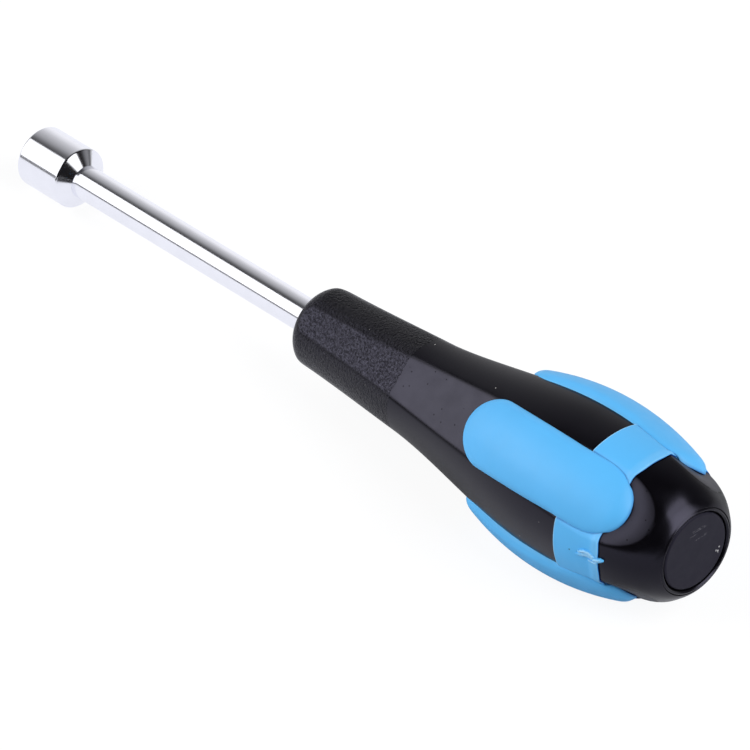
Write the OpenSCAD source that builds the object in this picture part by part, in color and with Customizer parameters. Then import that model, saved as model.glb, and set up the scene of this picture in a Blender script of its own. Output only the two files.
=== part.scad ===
// Nut driver: a hexagon socket on a round steel shaft, in a two-material handle with four soft pads.
// The tool lies along X. The origin is the centre of the socket's mouth, and the butt points to +X.
// The pads sit on the diagonals, so that two of them carry the handle when the tool lies down.

/* [Socket head] */
// Across flats of the hexagon
hex_across_flats = 8; // [6:0.1:8.6]
// Depth of the hexagon from the mouth
hex_depth = 6.4; // [4.5:0.1:7.2]
// Outside diameter of the head
head_d = 11.1; // [10.4:0.1:14]
// Length of the straight part of the head
head_len = 10.2; // [9.2:0.1:16]
// Length of the cone between the head and the shaft
cone_len = 1.5; // [0.8:0.1:5]
// Chamfer on the outer edge of the mouth
mouth_edge = 0.3; // [0.1:0.05:0.6]
// Depth of the lead-in cone inside the mouth
lead_in = 0.5; // [0.2:0.05:1]
// Diameter of the round relief below the hexagon
relief_d = 6.6; // [4:0.1:7.6]
// Depth of the relief below the hexagon
relief_depth = 0.8; // [0.3:0.1:1.6]
// Solid web between the relief and the shaft's spigot
web = 0.9; // [0.5:0.1:1.8]

/* [Shaft] */
// Diameter of the shaft
shaft_d = 6; // [5.2:0.1:8]
// Diameter of the spigot that is pressed into the head
spigot_d = 4.4; // [3:0.1:4.9]
// Reach from the socket's mouth to the nose of the handle
reach = 71.9; // [40:0.1:200]
// Length of the shaft that is held in the handle
tail_len = 48; // [36:0.5:60]
// Width over the two swaged wings near the shaft's tail
wing_span = 10; // [8.5:0.1:12]
// Thickness of the wings
wing_thick = 1.8; // [1:0.1:3]
// Length of the wings
wing_len = 8; // [4:0.1:12]
// Distance from the wings to the end of the shaft
wing_inset = 5; // [2:0.1:9]

/* [Handle] */
// Length of the handle from its nose to its end face
handle_len = 90.3; // [76:0.1:120]
// Diameter at the nose
nose_d = 15; // [13.8:0.1:16.5]
// Width across the flats at the nose
nose_flats = 14.3; // [13:0.1:15]
// Rounding of the nose's front edge
nose_round = 3.8; // [1:0.1:4]
// Length of the grained nose, where the waist ends
grain_len = 27.4; // [18:0.1:36]
// Diameter where the grain ends
waist_d = 18.5; // [17.6:0.1:21]
// Width across the flats where the grain ends
waist_flats = 17; // [15.6:0.1:18.2]
// Distance from the widest place to the end face
belly_back = 24.7; // [22:0.1:29]
// Diameter of the round strips at the widest place
belly_d = 28.5; // [27:0.1:34]
// Width across the flats at the widest place
belly_flats = 26.1; // [25:0.1:27.2]
// Distance from the heel behind the pads to the end face
heel_back = 6.9; // [4.5:0.1:9]
// Width across the flats at the heel
heel_flats = 22; // [20.6:0.1:23]
// Diameter of the end face
end_d = 15.1; // [13.8:0.1:17]

/* [Grip] */
// Diameter over the crowns of opposite pads
grip_d = 31.5; // [29.5:0.1:35]
// Distance from a pad's rear tip to the end face
pad_back = 6.9; // [5.5:0.1:9]
// Length of a pad
pad_len = 36.9; // [34:0.1:41]
// Width of a pad
pad_w = 12.1; // [10:0.1:13]
// Radius of a pad's crown along the handle
pad_long_radius = 54; // [48:1:80]
// Radius of a pad's crown across the handle
pad_cross_radius = 10.9; // [9:0.1:16]
// Depth of the pads' seats below the flats at the widest place
pad_depth = 1.3; // [0.8:0.1:2]
// Radius of the seats' floors along the handle
floor_radius = 100; // [80:1:160]
// Distance from the ring's rear edge to the end face
ring_back = 9; // [7.8:0.1:13]
// Width of the ring that links the pads
ring_w = 9.1; // [6:0.1:10]
// Height of the ring above the body
ring_proud = 0.25; // [0.05:0.05:0.6]
// Depth of the ring below the body's surface
ring_depth = 1.2; // [0.6:0.1:1.6]

/* [Core and end cap] */
// Distance from the nose to the front of the core
core_at = 8; // [5:0.1:14]
// Diameter of the core's front part
core_nose_d = 10.4; // [9.2:0.1:11.4]
// Length of the core's front part
core_nose_len = 22; // [14:0.1:26]
// Diameter of the core's main part
core_d = 17; // [14:0.1:19]
// Length of the core's main part
core_main_len = 33.1; // [29:0.1:38]
// Depth of the core's locking grooves
groove_depth = 0.9; // [0.4:0.1:1.4]
// Width of the core's locking grooves
groove_w = 3; // [1.5:0.1:4]
// Number of locking grooves
groove_count = 3; // [1:1:4]
// Thickness of the butt between the core and the end cap
butt_wall = 3; // [2:0.1:5]
// Diameter of the end cap
cap_d = 13; // [11:0.1:13.4]
// Thickness of the end cap
cap_thick = 2.2; // [1.2:0.1:3.5]
// Diameter of the cap's stem
stem_d = 5; // [3:0.1:7]
// Length of the cap's stem past the butt wall
stem_grip = 6; // [3:0.1:10]

/* [Hidden] */
$fn = 96;

// Clearance of pressed and moulded seats, on each side
seat_clear = 0.02;
// Extra length of cuts and cutting shapes past what they cut
overrun = 1;
// Slopes of the round form and of the flats, as rise over run
nose_slope_share = 0.032;
waist_slope_share = 0.084;
nose_flat_slope_share = 0.015;
waist_flat_slope_share = 0.052;
heel_flat_slope_share = -0.192;
// Power of the rounded butt, where 2 is an ellipse
dome_power = 2.7;
// Number of straight steps in a curved stretch
round_steps = 5;
nose_steps = 6;
heel_steps = 2;
waist_steps = 10;
dome_steps = 12;
ring_steps = 5;
// Turns of the four pads about the tool's axis
pad_turns = [45, 135, 225, 315];

head_all = head_len + cone_len;
spigot_len = head_all - hex_depth - relief_depth - web;
hex_corner_d = hex_across_flats / cos(30);
tail_end = reach + tail_len;
belly_at = handle_len - belly_back;
heel_at = handle_len - heel_back;
dome_reach = belly_back / pow(1 - pow(end_d / belly_d, dome_power), 1 / dome_power);
pad_mid = handle_len - pad_back - pad_len / 2;
ring_end = handle_len - ring_back;
ring_at = ring_end - ring_w;
core_end = handle_len - cap_thick - butt_wall;
core_main_at = core_end - core_main_len;
groove_pitch = core_main_len / (groove_count + 1);

// Cubic through two radii with a slope at each end
function eased(t, run, r0, slope0, r1, slope1) =
    (2 * pow(t, 3) - 3 * pow(t, 2) + 1) * r0
    + (pow(t, 3) - 2 * pow(t, 2) + t) * run * slope0
    + (3 * pow(t, 2) - 2 * pow(t, 3)) * r1
    + (pow(t, 3) - pow(t, 2)) * run * slope1;

// Radius of the round form at a distance from the nose
function round_r(h) =
    h < grain_len
    ? eased(h / grain_len, grain_len, nose_d / 2, nose_slope_share, waist_d / 2, waist_slope_share)
    : h < belly_at
    ? eased((h - grain_len) / (belly_at - grain_len), belly_at - grain_len,
            waist_d / 2, waist_slope_share, belly_d / 2, 0)
    : belly_d / 2 * pow(1 - pow((h - belly_at) / dome_reach, dome_power), 1 / dome_power);

// Distance of the flats from the axis at a distance from the nose
function flat_r(h) =
    h < grain_len
    ? eased(h / grain_len, grain_len,
            nose_flats / 2, nose_flat_slope_share, waist_flats / 2, waist_flat_slope_share)
    : h < belly_at
    ? eased((h - grain_len) / (belly_at - grain_len), belly_at - grain_len,
            waist_flats / 2, waist_flat_slope_share, belly_flats / 2, 0)
    : h < heel_at
    ? eased((h - belly_at) / (heel_at - belly_at), heel_at - belly_at,
            belly_flats / 2, 0, heel_flats / 2, heel_flat_slope_share)
    : heel_flats / 2 + heel_flat_slope_share * (h - heel_at);

// Even stations from one distance to another, without the last
function stations(from, to, steps) = [for (i = [0 : steps - 1]) from + (to - from) * i / steps];

// Stations halfway between even ones
function mid_stations(from, to, steps) =
    [for (i = [0 : steps - 1]) from + (to - from) * (2 * i + 1) / (2 * steps)];

// Stations of the round form, behind the rounded nose edge
handle_stations = concat(
    stations(nose_round, grain_len, nose_steps),
    stations(grain_len, belly_at, waist_steps),
    stations(belly_at, heel_at, nose_steps),
    stations(heel_at, handle_len, dome_steps),
    [handle_len]);

// Stations of the flats, between those of the round form and past both its ends
flat_stations = concat(
    [-overrun],
    mid_stations(0, grain_len, nose_steps),
    mid_stations(grain_len, belly_at, waist_steps),
    mid_stations(belly_at, heel_at, nose_steps),
    mid_stations(heel_at, handle_len, heel_steps),
    [handle_len + overrun]);

// Outline of the nose's rounded front edge, from the front face back
nose_edge = [for (i = [0 : round_steps - 1])
    let (a = 90 * i / round_steps)
    [round_r(nose_round) - nose_round * (1 - sin(a)), nose_round * (1 - cos(a))]];

// Stations over the ring, and over the ring with an overrun at each end
ring_stations = concat(stations(ring_at, ring_end, ring_steps), [ring_end]);
bed_stations = concat([ring_at - overrun], ring_stations, [ring_end + overrun]);

// Turns a shape drawn along Z so that it lies along the tool
module along_tool() {
    rotate([0, 90, 0]) children();
}

module in_handle() {
    translate([0, 0, reach]) children();
}

// Solid between two distances from the nose, with the four flats cut on the round form
module lobed_slice(at, grow) {
    last = len(at) - 1;
    intersection() {
        rotate_extrude()
            polygon(concat([[0, at[0]]], [for (h = at) [round_r(h) + grow, h]], [[0, at[last]]]));
        flats(grow);
    }
}

module flats(grow) {
    last = len(flat_stations) - 1;
    outline = concat(
        [for (h = flat_stations) [flat_r(h) + grow, h]],
        [for (i = [last : -1 : 0]) [-flat_r(flat_stations[i]) - grow, flat_stations[i]]]);
    intersection_for(turn = [pad_turns[0], pad_turns[1]])
        rotate([0, 0, turn])
            rotate([90, 0, 0])
                linear_extrude(height = grip_d, center = true)
                    polygon(outline);
}

module body_form() {
    intersection() {
        rotate_extrude()
            polygon(concat(
                [[0, 0]],
                nose_edge,
                [for (h = handle_stations) [round_r(h), h]],
                [[0, handle_len]]));
        flats(0);
    }
}

// Plan of a pad: a strip with round ends, its length along the handle
module pad_plan(clear) {
    straight = pad_len - pad_w;
    width = pad_w + 2 * clear;
    square([straight, width], center = true);
    for (side = [-1, 1])
        translate([side * straight / 2, 0])
            circle(d = width);
}

// Column over a pad's plan, from its seat's floor outwards
module pad_column(clear) {
    difference() {
        translate([0, 0, pad_mid])
            rotate([0, 90, 0])
                linear_extrude(height = grip_d)
                    pad_plan(clear);
        translate([belly_flats / 2 - pad_depth - floor_radius, 0, pad_mid])
            rotate([90, 0, 0])
                cylinder(r = floor_radius - clear, h = pad_w + 2 * overrun, center = true);
    }
}

// One pad, crowned along and across
module pad() {
    intersection() {
        pad_column(0);
        translate([grip_d / 2 - pad_long_radius, 0, pad_mid])
            rotate([90, 0, 0])
                rotate_extrude()
                    translate([pad_long_radius - pad_cross_radius, 0])
                        circle(r = pad_cross_radius);
    }
}

// Everything that the ring's groove takes from the body
module ring_groove() {
    difference() {
        translate([0, 0, ring_at - seat_clear])
            cylinder(d = grip_d, h = ring_w + 2 * seat_clear);
        lobed_slice(bed_stations, -ring_depth - seat_clear);
    }
}

// Swaged wings that stop the shaft from turning in the core
module wings(clear) {
    translate([0, 0, tail_end - wing_inset - wing_len / 2])
        cube([wing_span + 2 * clear, wing_thick + 2 * clear, wing_len + 2 * clear], center = true);
}

// Outer form of the core, with its locking grooves
module core_form(clear) {
    rotate_extrude()
        polygon([
            [0, core_at - clear],
            [core_nose_d / 2 + clear, core_at - clear],
            [core_nose_d / 2 + clear, core_at + core_nose_len],
            [core_d / 2 + clear, core_main_at],
            [core_d / 2 + clear, core_end + clear],
            [0, core_end + clear]]);
}

module core_grooves(clear) {
    for (i = [1 : groove_count])
        translate([0, 0, core_main_at + i * groove_pitch - groove_w / 2 + clear])
            difference() {
                cylinder(d = core_d + overrun, h = groove_w - 2 * clear);
                translate([0, 0, -overrun])
                    cylinder(d = core_d - 2 * groove_depth + 2 * clear, h = groove_w + 2 * overrun);
            }
}

module core_solid(clear) {
    difference() {
        core_form(clear);
        core_grooves(clear);
    }
}

module socket_head() {
    color("silver")
        along_tool()
            difference() {
                rotate_extrude()
                    polygon([
                        [0, 0],
                        [head_d / 2 - mouth_edge, 0],
                        [head_d / 2, mouth_edge],
                        [head_d / 2, head_len],
                        [shaft_d / 2, head_all],
                        [0, head_all]]);
                translate([0, 0, -overrun])
                    cylinder(d = hex_corner_d, h = hex_depth + overrun, $fn = 6);
                cylinder(d1 = hex_corner_d, d2 = hex_across_flats - lead_in, h = lead_in);
                cylinder(d = relief_d, h = hex_depth + relief_depth);
                translate([0, 0, head_all - spigot_len])
                    cylinder(d = spigot_d + 2 * seat_clear, h = spigot_len + overrun);
            }
}

module shaft() {
    color("gainsboro")
        along_tool() {
            translate([0, 0, head_all - spigot_len + seat_clear])
                cylinder(d = spigot_d, h = spigot_len + overrun);
            translate([0, 0, head_all])
                cylinder(d = shaft_d, h = tail_end - head_all);
            wings(0);
        }
}

module handle_core() {
    color("dimgray")
        along_tool()
            difference() {
                in_handle() core_solid(0);
                in_handle() cylinder(d = shaft_d + 2 * seat_clear, h = tail_len + seat_clear);
                wings(seat_clear);
                in_handle()
                    translate([0, 0, core_end - stem_grip])
                        cylinder(d = stem_d + 2 * seat_clear, h = stem_grip + overrun);
            }
}

module handle_body() {
    color("black")
        along_tool()
            in_handle()
                difference() {
                    body_form();
                    core_solid(seat_clear);
                    translate([0, 0, -overrun])
                        cylinder(d = shaft_d + 2 * seat_clear, h = core_at + 2 * overrun);
                    translate([0, 0, handle_len - cap_thick])
                        cylinder(d = cap_d + 2 * seat_clear, h = cap_thick + overrun);
                    translate([0, 0, core_end - overrun])
                        cylinder(d = stem_d + 2 * seat_clear, h = butt_wall + 2 * overrun);
                    ring_groove();
                    for (turn = pad_turns)
                        rotate([0, 0, turn]) pad_column(seat_clear);
                }
}

module grip_overmould() {
    color("deepskyblue")
        along_tool()
            in_handle() {
                difference() {
                    lobed_slice(ring_stations, ring_proud);
                    lobed_slice(bed_stations, -ring_depth);
                }
                for (turn = pad_turns)
                    rotate([0, 0, turn]) pad();
            }
}

module end_cap() {
    color("darkslategray")
        along_tool()
            in_handle() {
                translate([0, 0, handle_len - cap_thick])
                    cylinder(d = cap_d, h = cap_thick);
                translate([0, 0, core_end - stem_grip + seat_clear])
                    cylinder(d = stem_d, h = stem_grip + butt_wall + overrun);
            }
}

socket_head();
shaft();
handle_core();
handle_body();
grip_overmould();
end_cap();
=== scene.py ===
"""Dresses the packed nut driver: plated steel, a grained black handle, a blue soft grip and a plain white studio."""
import math

import bmesh
import bpy
import numpy as np
from bpy.props import FloatProperty, FloatVectorProperty, IntProperty, PointerProperty
from mathutils import Matrix, Vector


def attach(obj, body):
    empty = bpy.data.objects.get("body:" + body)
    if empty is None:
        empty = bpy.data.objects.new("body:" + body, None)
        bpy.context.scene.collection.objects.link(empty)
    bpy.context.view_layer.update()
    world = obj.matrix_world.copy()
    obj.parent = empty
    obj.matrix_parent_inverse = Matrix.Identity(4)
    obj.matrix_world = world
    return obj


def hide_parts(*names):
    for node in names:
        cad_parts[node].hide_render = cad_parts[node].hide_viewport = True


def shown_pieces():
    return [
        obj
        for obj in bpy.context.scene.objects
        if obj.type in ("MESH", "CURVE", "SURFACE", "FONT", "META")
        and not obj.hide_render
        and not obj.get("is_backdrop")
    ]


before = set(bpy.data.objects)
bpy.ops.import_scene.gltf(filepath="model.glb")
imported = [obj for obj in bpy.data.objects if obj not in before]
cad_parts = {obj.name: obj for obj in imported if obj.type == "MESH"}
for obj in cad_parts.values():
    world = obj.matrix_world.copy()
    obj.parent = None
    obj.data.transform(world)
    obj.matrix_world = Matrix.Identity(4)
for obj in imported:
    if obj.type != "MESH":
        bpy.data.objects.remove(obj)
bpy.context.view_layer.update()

bl_info = {
    "name": "Nut driver",
    "version": (1, 0, 0),
    "blender": (4, 5, 0),
    "location": "3D View > Sidebar > Nut driver",
    "description": "Builds the visible pieces of a nut driver round its packed solids, and a plain studio",
    "category": "Object",
}

MM = 0.001
BODY = "root"
QUARTER = math.pi / 2
SHARP_ANGLE = math.radians(26)
GAP = 0.02 * MM  # between pieces that nearly touch
WELD = 1e-7  # points closer than this are one
LEAST_VOLUME = 1e-13
NO_FLAT = 1.0  # a flat so far out that it cuts nothing
ROUND_STEPS = 4  # steps of a small rounding
ROUND_SEGMENTS = 128
COOL_SHEEN = (0.9, 0.87, 1.2, 1.0)


def length(name, description, millimetres):
    """A length property, with its default given in millimetres."""
    return FloatProperty(name=name, description=description, default=millimetres * MM, unit="LENGTH", precision=5)


def angle(name, description, degrees):
    """An angle property, with its default given in degrees."""
    return FloatProperty(name=name, description=description, default=math.radians(degrees), subtype="ANGLE")


def share(name, description, value):
    """A plain number between nought and one or so."""
    return FloatProperty(name=name, description=description, default=value, precision=4)


def colour(name, description, value):
    """A linear colour property."""
    return FloatVectorProperty(name=name, description=description, default=value, size=3, subtype="COLOR", min=0, max=1)


class SteelSizes(bpy.types.PropertyGroup):
    """Sizes of the socket head and the shaft."""

    hex_across_flats: length("Across flats", "Across flats of the hexagon", 8)
    hex_depth: length("Hexagon depth", "Depth of the hexagon from the mouth", 6.4)
    head_d: length("Head diameter", "Outside diameter of the head", 11.1)
    head_len: length("Head length", "Length of the straight part of the head", 10.2)
    cone_len: length("Cone length", "Length of the cone behind the head", 1.5)
    mouth_edge: length("Mouth chamfer", "Chamfer on the outer edge of the mouth", 0.3)
    lead_in: length("Lead-in", "Depth of the lead-in cone inside the mouth", 0.5)
    relief_d: length("Relief diameter", "Diameter of the relief below the hexagon", 6.6)
    relief_depth: length("Relief depth", "Depth of the relief below the hexagon", 0.8)
    web: length("Web", "Solid web between the relief and the spigot", 0.9)
    shaft_d: length("Shaft diameter", "Diameter of the shaft", 6)
    spigot_d: length("Spigot diameter", "Diameter of the spigot in the head", 4.4)
    tail_len: length("Tail length", "Length of the shaft in the handle", 48)
    wing_span: length("Wing span", "Width over the wings near the tail", 10)
    wing_thick: length("Wing thickness", "Thickness of the wings", 1.8)
    wing_len: length("Wing length", "Length of the wings", 8)
    wing_inset: length("Wing inset", "Distance from the wings to the shaft's end", 5)
    edge_round: length("Edge rounding", "Rounding of the steel's edges", 0.09)
    mouth_round: length("Mouth rounding", "Rounding of the chamfer at the mouth", 0.22)


class HandleSizes(bpy.types.PropertyGroup):
    """Sizes of the handle body and the end cap."""

    reach: length("Reach", "Distance from the mouth to the nose", 71.9)
    handle_len: length("Handle length", "Length from the nose to the end face", 90.3)
    nose_d: length("Nose diameter", "Diameter at the nose", 15)
    nose_flats: length("Nose flats", "Width across the flats at the nose", 14.3)
    nose_round: length("Nose rounding", "Rounding of the nose's front edge", 3.8)
    grain_len: length("Grain length", "Length of the grained nose", 27.4)
    waist_d: length("Waist diameter", "Diameter where the grain ends", 18.5)
    waist_flats: length("Waist flats", "Width across the flats where the grain ends", 17)
    belly_back: length("Belly place", "Distance from the widest place to the end face", 24.7)
    belly_d: length("Belly diameter", "Diameter at the widest place", 28.5)
    belly_flats: length("Belly flats", "Width across the flats at the widest place", 26.1)
    heel_back: length("Heel place", "Distance from the heel to the end face", 6.9)
    heel_flats: length("Heel flats", "Width across the flats at the heel", 22)
    end_d: length("End diameter", "Diameter of the end face", 15.1)
    cap_d: length("Cap diameter", "Diameter of the end cap", 13)
    cap_thick: length("Cap thickness", "Thickness of the end cap", 2.2)
    stem_d: length("Stem diameter", "Diameter of the cap's stem", 5)
    stem_len: length("Stem length", "Length of the cap's stem", 9)
    flat_edge: length("Flat edges", "Softness of the edges of the flats", 0.55)
    heel_edge: length("Heel edges", "Softness of the flats' edges at the heel", 1.6)
    nose_slope: share("Nose slope", "Slope of the round form at the nose", 0.032)
    waist_slope: share("Waist slope", "Slope of the round form at the waist", 0.084)
    nose_flat_slope: share("Nose flat slope", "Slope of the flats at the nose", 0.015)
    waist_flat_slope: share("Waist flat slope", "Slope of the flats at the waist", 0.052)
    heel_flat_slope: share("Heel flat slope", "Slope of the flats at the heel", -0.192)
    dome_power: share("Butt power", "Power of the rounded butt's curve", 2.7)


class GripSizes(bpy.types.PropertyGroup):
    """Sizes of the soft grip's ring and pads."""

    grip_d: length("Grip diameter", "Diameter over the crowns of opposite pads", 31.5)
    pad_back: length("Pad place", "Distance from a pad's rear tip to the end face", 6.9)
    pad_len: length("Pad length", "Length of a pad", 36.9)
    pad_w: length("Pad width", "Width of a pad", 12.1)
    pad_long_radius: length("Long crown", "Radius of a pad's crown along the handle", 54)
    pad_cross_radius: length("Cross crown", "Radius of a pad's crown across the handle", 10.9)
    pad_depth: length("Seat depth", "Depth of a pad's seat below the flat", 1.3)
    floor_radius: length("Seat radius", "Radius of a seat's floor along the handle", 100)
    rim_drop: length("Rim drop", "Height of a pad's rounded rim", 0.95)
    ring_drop: length("Ring rim drop", "Height of a pad's rounded rim where the ring meets it", 0.36)
    rim_side: length("Side rim", "Width of the rounded rim along a pad's sides", 1.0)
    rim_tip: length("Tip rim", "Width of the rounded rim at a pad's tips", 2.1)
    tip_drop: length("Tip drop", "Extra height of the rim at a pad's rear tip", 0.35)
    tip_len: length("Tip length", "Length of a pad's rear tip", 7.45)
    tip_power: share("Tip power", "Power of the rear tip's curve", 2.0)
    taper: share("Taper", "Share of a pad's width that it loses towards its rear tip", 0.02)
    pad_tuck: length("Pad undercut", "Undercut below a pad's rear tip", 0.3)
    ring_back: length("Ring place", "Distance from the ring's rear edge to the end face", 9)
    ring_w: length("Ring width", "Width of the ring", 9.1)
    ring_proud: length("Ring height", "Height of the ring above the body", 0.2)
    ring_lip: length("Ring lip", "Height of the lip along the ring's rear edge", 0.4)
    ring_depth: length("Ring depth", "Depth of the ring below the body's surface", 1.2)
    edge_ease: length("Edge ease", "How far the ring's rear edge turns forward beside the pads", 0.45)
    pads: IntProperty(name="Pads", description="Number of pads round the handle", default=4, min=1)


class Finishes(bpy.types.PropertyGroup):
    """Colours of the finishes."""

    plating: colour("Plating", "Bright plating on the steel", (0.885, 0.89, 0.94))
    body: colour("Body", "Black plastic of the handle body", (0.002, 0.0018, 0.0026))
    grip: colour("Grip", "Blue soft grip", (0.1, 0.475, 0.91))
    # Painted shade: the dark blue laid on the grip's undercuts and on the walls along its rear edges
    painted_undercut_shade: colour("Grip shade", "Dark blue of the grip's creases and undercuts", (0.006, 0.06, 0.34))
    # Painted shade: the blue laid along the line where the ring meets the pads
    painted_crease_shade: colour("Crease", "Shaded blue where the ring meets the pads", (0.025, 0.2, 0.52))
    # Pale flash with a painted highlight, along the ring's moulded edges and on the gate mark's ridges
    flash_and_highlight: colour("Flash", "Pale moulded edges of the grip's ring", (0.55, 0.78, 0.88))
    cap: colour("Cap", "Dark plastic of the end cap", (0.0096, 0.009, 0.015))
    core: colour("Core", "Plastic of the hidden core", (0.05, 0.05, 0.055))
    floor: colour("Floor", "Pale floor", (0.66, 0.665, 0.685))


class StudioSettings(bpy.types.PropertyGroup):
    """Camera and lamps."""

    camera_away: length("Camera distance", "Distance of the camera from the tool", 1100)
    camera_aim: length("Camera aim", "Place on the axis that the camera looks at", 88.213)
    camera_low: length("Camera drop", "Drop of the camera's line below the axis", 2.489)
    camera_swing: angle("Swing", "Angle between the line of sight and the tool", 51.989)
    camera_lift: angle("Lift", "Turn of the line of sight about the tool", 131.4)
    camera_roll: angle("Roll", "Turn of the picture about the line of sight", 31.3)
    lens: FloatProperty(name="Lens", description="Focal length for a 36 mm sensor", default=318.226, unit="CAMERA")
    key_level: share("Key level", "Radiance of the large soft lamp beside the camera", 4.1)
    rear_level: share("Rear level", "Radiance of the soft lamp behind the butt", 5.1)
    panel_level: share("Panel level", "Radiance of the lamps' dimmer twins, which only the plating reflects", 1.3)


GROUPS = {
    "nut_steel": SteelSizes,
    "nut_handle": HandleSizes,
    "nut_grip": GripSizes,
    "nut_finish": Finishes,
    "nut_studio": StudioSettings,
}


def joined(operation, turned=False):
    """A method that joins two values with a math node, the other value first if turned."""
    def join(self, other):
        return self.graph.math(operation, *((other, self) if turned else (self, other)))
    return join


class Value:
    """One output of a node, for sums with numbers and with other outputs."""

    __add__ = joined("ADD")
    __sub__ = joined("SUBTRACT")
    __rsub__ = joined("SUBTRACT", True)
    __mul__ = joined("MULTIPLY")
    __truediv__ = joined("DIVIDE")
    __rtruediv__ = joined("DIVIDE", True)
    __pow__ = joined("POWER")

    def __init__(self, graph, socket):
        self.graph, self.socket = graph, socket

    def __abs__(self):
        return self.graph.math("ABSOLUTE", self)


class Graph:
    """Short calls for building a node tree."""

    def __init__(self, tree):
        self.tree = tree

    def feed(self, socket, value):
        if isinstance(value, Value):
            self.tree.links.new(value.socket, socket)
        else:
            socket.default_value = value

    def add(self, kind, values=None, **settings):
        """A new node with its settings and inputs."""
        node = self.tree.nodes.new(kind)
        for name, value in settings.items():
            setattr(node, name, value)
        for name, value in (values or {}).items():
            self.feed(node.inputs[name], value)
        return node

    def out(self, kind, values=None, output=0, **settings):
        """One output of a new node."""
        return Value(self, self.add(kind, values, **settings).outputs[output])

    def outs(self, kind, values=None, **settings):
        """All outputs of a new node, by name."""
        return {socket.name: Value(self, socket) for socket in self.add(kind, values, **settings).outputs}

    def end(self, kind, value):
        """Closes the tree with its output node."""
        self.feed(self.add(kind).inputs[0], value)

    def math(self, operation, *values):
        return self.out("ShaderNodeMath", dict(enumerate(values)), operation=operation)

    def most(self, first, second):
        return self.math("MAXIMUM", first, second)

    def least(self, first, second):
        return self.math("MINIMUM", first, second)

    def mix(self, amount, first, second):
        return self.out("ShaderNodeMix", {"Factor": amount, 2: first, 3: second})

    def parts(self, vector):
        return list(self.outs("ShaderNodeSeparateXYZ", {"Vector": vector}).values())

    def vector(self, x, y, z):
        return self.out("ShaderNodeCombineXYZ", {"X": x, "Y": y, "Z": z})

    def attribute(self, name):
        return self.out("ShaderNodeAttribute", output="Fac", attribute_name=name)

    def step(self, value, low, high):
        """Nought below low, one above high and smooth between."""
        return self.out("ShaderNodeMapRange", {"Value": value, "From Min": low, "From Max": high},
                        interpolation_type="SMOOTHSTEP")

    def fall(self, value, low, high):
        """One below low, nought above high and smooth between."""
        return 1 - self.step(value, low, high)

    def scaled(self, value, low, high, new_low, new_high):
        return self.out("ShaderNodeMapRange", {"Value": value, "From Min": low, "From Max": high,
                                               "To Min": new_low, "To Max": new_high})


# Rules of the handle's form, the same as in the part's source

def smooth_step(value, low, high):
    t = min(max((value - low) / (high - low), 0), 1)
    return t * t * (3 - 2 * t)


def eased(h, *stops):
    """A size at a distance from the nose, eased between stops of place, size and slope."""
    for (h0, r0, slope0), (h1, r1, slope1) in zip(stops, stops[1:]):
        if h < h1:
            run = h1 - h0
            t = (h - h0) / run
            return ((2 * t**3 - 3 * t**2 + 1) * r0 + (t**3 - 2 * t**2 + t) * run * slope0
                    + (3 * t**2 - 2 * t**3) * r1 + (t**3 - t**2) * run * slope1)
    return r1 + slope1 * (h - h1)


def round_radius(p, h):
    """Radius of the round form at a distance from the nose."""
    belly_at, belly = p.handle_len - p.belly_back, p.belly_d / 2
    if h < belly_at:
        return eased(h, (0, p.nose_d / 2, p.nose_slope), (p.grain_len, p.waist_d / 2, p.waist_slope),
                     (belly_at, belly, 0))
    n = p.dome_power
    dome = p.belly_back / (1 - (p.end_d / p.belly_d) ** n) ** (1 / n)
    return belly * (1 - ((h - belly_at) / dome) ** n) ** (1 / n)


def flat_distance(p, h):
    """Distance of the flats from the axis at a distance from the nose."""
    return eased(h, (0, p.nose_flats / 2, p.nose_flat_slope), (p.grain_len, p.waist_flats / 2, p.waist_flat_slope),
                 (p.handle_len - p.belly_back, p.belly_flats / 2, 0),
                 (p.handle_len - p.heel_back, p.heel_flats / 2, p.heel_flat_slope))


def tip_reach(p, turn):
    """Distance from the root of a pad's rear tip to its outline, at an angle from the handle's line."""
    n = p.tip_power
    along, across = abs(math.cos(turn)) / p.tip_len, abs(math.sin(turn)) / (p.pad_w / 2)
    return (along**n + across**n) ** (-1 / n)


def pad_width(p, a):
    """Share of a pad's full width at a place along it from its middle."""
    return 1 - p.taper * smooth_step(a, -2 * MM, 8 * MM)


def pad_height(p, a, b):
    """Height of a pad above the axis, at a place along it from its middle and across it."""
    half_w = p.pad_w / 2
    b /= pad_width(p, a)
    ring = p.pad_long_radius - p.pad_cross_radius + math.sqrt(p.pad_cross_radius**2 - b**2)
    crown = p.grip_d / 2 - p.pad_long_radius + math.sqrt(ring**2 - a**2)
    front, rear = half_w - p.pad_len / 2, p.pad_len / 2 - p.tip_len
    past = a - min(max(a, front), rear)
    out = math.hypot(past, b)
    ahead = (past / max(out, 1e-9)) ** 2
    edge = p.pad_len / 2 + p.pad_back - p.ring_back
    on_ring = smooth_step(a, edge - p.ring_w - 1 * MM, edge - p.ring_w + 0.2 * MM)
    on_ring *= 1 - smooth_step(a, edge - 0.6 * MM, edge + 0.8 * MM)
    drop = p.rim_drop
    if past > 0:
        out *= half_w / tip_reach(p, math.atan2(b, past))
        drop += p.tip_drop * ahead
    drop += (p.ring_drop - drop) * on_ring
    rim = p.rim_side + (p.rim_tip - p.rim_side) * ahead
    t = max(0.0, 1 - (half_w - out) / rim)
    if t >= 1:
        return crown - drop - (out - half_w)
    return crown - drop * (1 - math.sqrt(1 - t * t))


# Meshes

def new_object(name, data):
    item = bpy.data.objects.new(name, data)
    bpy.context.scene.collection.objects.link(item)
    return item


def new_mesh(name, points, faces=()):
    mesh = bpy.data.meshes.new(name)
    mesh.from_pydata(points, [], faces)
    return mesh


def note(mesh, name, values):
    """Stores a number for each point of a mesh."""
    mesh.attributes.new(name, "FLOAT", "POINT").data.foreach_set("value", values)


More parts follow.
